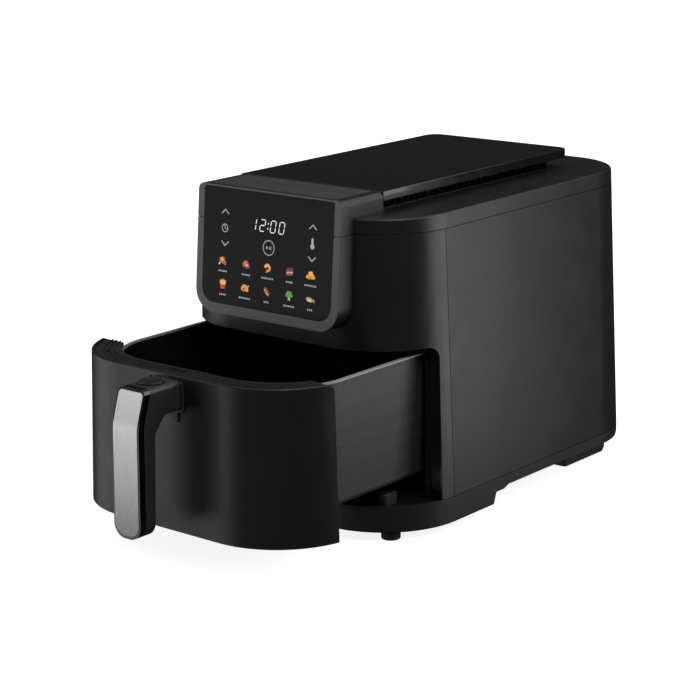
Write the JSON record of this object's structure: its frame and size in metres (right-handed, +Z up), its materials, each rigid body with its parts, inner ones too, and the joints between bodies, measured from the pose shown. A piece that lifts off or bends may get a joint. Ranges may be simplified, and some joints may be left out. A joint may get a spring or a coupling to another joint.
{
  "type": "air fryer",
  "caption": "Free-standing air fryer with a pull-out drawer, pan and lift-out plate, a tilted touch panel, a handle with a release button, and a hot air fan.",
  "frame": {"origin": "middle of the underside of the bounding box at rest, on the surface the feet stand on, with the drawer drawn out 140 mm", "axes": "-Y is the front, where the drawer slides out; +X is to the right as seen from the front; +Z is up"},
  "size_m": [0.28, 0.5857, 0.304],
  "materials": {
    "satin_black": "satin moulded",
    "base_black": "fine textured",
    "foot_rubber": "matte",
    "head_grey": "satin metallic",
    "gloss_black": "polished",
    "strip_satin": "brushed satin",
    "panel_glass": "polished",
    "circuit_green": "solder mask",
    "white_plastic": "matte",
    "chamber_steel": "coated",
    "bare_steel": "plain",
    "dark_steel": "heat darkened",
    "aluminium_part": "cast",
    "bronze_part": "sintered",
    "stator_part": "laminated",
    "blanket": "felt",
    "nylon_black": "smooth",
    "pan_coating": "speckled non-stick",
    "silicone_black": "matte",
    "silver_trim": "brushed"
  },
  "bodies": {
    "housing": {"base_tray": "base_black", "base_screws": "bare_steel", "front_feet": "foot_rubber", "rear_feet": "foot_rubber", "guide_blocks": "nylon_black", "front_cover": "satin_black", "wrap_shell": "satin_black", "rear_grille": "base_black", "cord_gland": "foot_rubber", "top_cover": "satin_black", "top_plate": "gloss_black", "top_strip": "strip_satin", "display_housing": "head_grey", "display_cap": "head_grey", "display_glass": "panel_glass", "display_board": "circuit_green", "led_module": "white_plastic", "touch_springs": "bare_steel", "opening_trim": "base_black", "chamber_liner": "chamber_steel", "pan_runners": "nylon_black", "roof_insulation": "blanket", "heating_element": "dark_steel", "element_clips": "dark_steel", "element_guard": "dark_steel", "motor_bracket": "bare_steel", "motor_screws": "bare_steel", "motor_case": "bare_steel", "motor_stator": "stator_part", "motor_bushes": "bronze_part", "thermal_cutout": "bare_steel", "temperature_probe": "bare_steel", "power_board": "circuit_green", "board_posts": "white_plastic", "board_parts": "nylon_black", "exhaust_duct": "bare_steel", "drawer_switch": "nylon_black"},
    "drawer": {"drawer_front": "satin_black", "drawer_deck": "satin_black", "pan": "pan_coating", "pan_screws": "bare_steel", "handle_body": "satin_black", "handle_rim": "gloss_black", "handle_plate": "silver_trim", "handle_escutcheon": "gloss_black", "handle_screws": "bare_steel", "button_spring": "bare_steel"},
    "button": {"release_button": "strip_satin", "release_catch": "nylon_black"},
    "crisper": {"crisper_plate": "pan_coating", "crisper_bumpers": "silicone_black"},
    "fan": {"hot_air_fan": "aluminium_part", "cooling_fan": "nylon_black", "motor_shaft": "bare_steel", "motor_rotor": "stator_part", "fan_nut": "bare_steel"}
  },
  "joints": [
    {"name": "drawer_slide", "type": "slide", "parent": "housing", "child": "drawer", "axis": [0, -1, 0], "range_m": [-0.14, 0.2]},
    {"name": "button_press", "type": "slide", "parent": "drawer", "child": "button", "axis": [0, 0, -1], "range_m": [0, 0.003], "stiffness_N_per_m": 500, "springref_m": -0.002, "deforming": ["button_spring"]},
    {"name": "crisper_lift", "type": "slide", "parent": "drawer", "child": "crisper", "axis": [0, 0, 1], "range_m": [0, 0.075]},
    {"name": "fan_spin", "type": "hinge", "parent": "housing", "child": "fan", "pos_m": [0, 0.088, 0.235], "axis": [0, 0, 1], "continuous": true}
  ]
}
